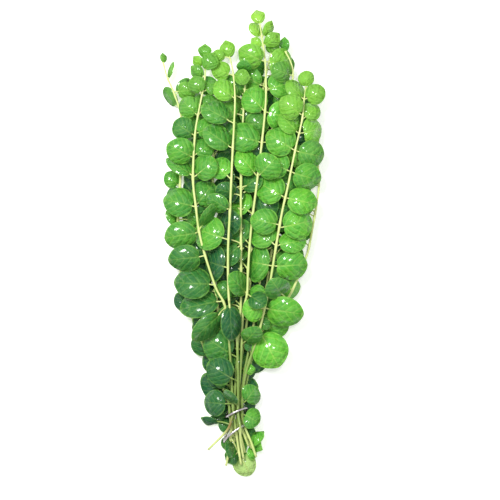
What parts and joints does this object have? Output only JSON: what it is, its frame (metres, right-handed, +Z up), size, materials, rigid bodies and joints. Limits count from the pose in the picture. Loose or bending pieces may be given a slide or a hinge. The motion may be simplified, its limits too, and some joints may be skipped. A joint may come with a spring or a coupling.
{
  "type": "pennywort bunch",
  "caption": "Bunch of leafy pennywort stems with round opposite leaves, tied near the cut ends with thin wire and lying flat.",
  "frame": {"origin": "middle of the bunch's footprint, on the surface it lies on", "axes": "+Z up from the surface, +Y from the cut ends towards the leaf tips, +X to the right seen from above"},
  "size_m": [0.0894, 0.2504, 0.0222],
  "materials": {
    "sprig_centre_left": "soft waxy green leaf",
    "sprig_right_front": "soft waxy green leaf",
    "sprig_centre": "soft waxy green leaf",
    "sprig_left_front": "soft waxy green leaf",
    "sprig_far_left": "soft waxy green leaf",
    "sprig_right_edge": "soft waxy green leaf",
    "sprig_behind_centre": "soft waxy green leaf",
    "sprig_behind_right": "soft waxy green leaf",
    "sprig_behind_left": "soft waxy green leaf",
    "sprig_small_leaf": "soft waxy green leaf",
    "sprig_behind_tallest": "soft waxy green leaf",
    "tie_wire": "thin bright wire"
  },
  "bodies": {
    "root": {"sprig_centre_left": "sprig_centre_left", "sprig_right_front": "sprig_right_front", "sprig_centre": "sprig_centre", "sprig_left_front": "sprig_left_front", "sprig_far_left": "sprig_far_left", "sprig_right_edge": "sprig_right_edge", "sprig_behind_centre": "sprig_behind_centre", "sprig_behind_right": "sprig_behind_right", "sprig_behind_left": "sprig_behind_left", "sprig_small_leaf": "sprig_small_leaf", "sprig_behind_tallest": "sprig_behind_tallest", "tie_wire": "tie_wire"}
  },
  "joints": []
}
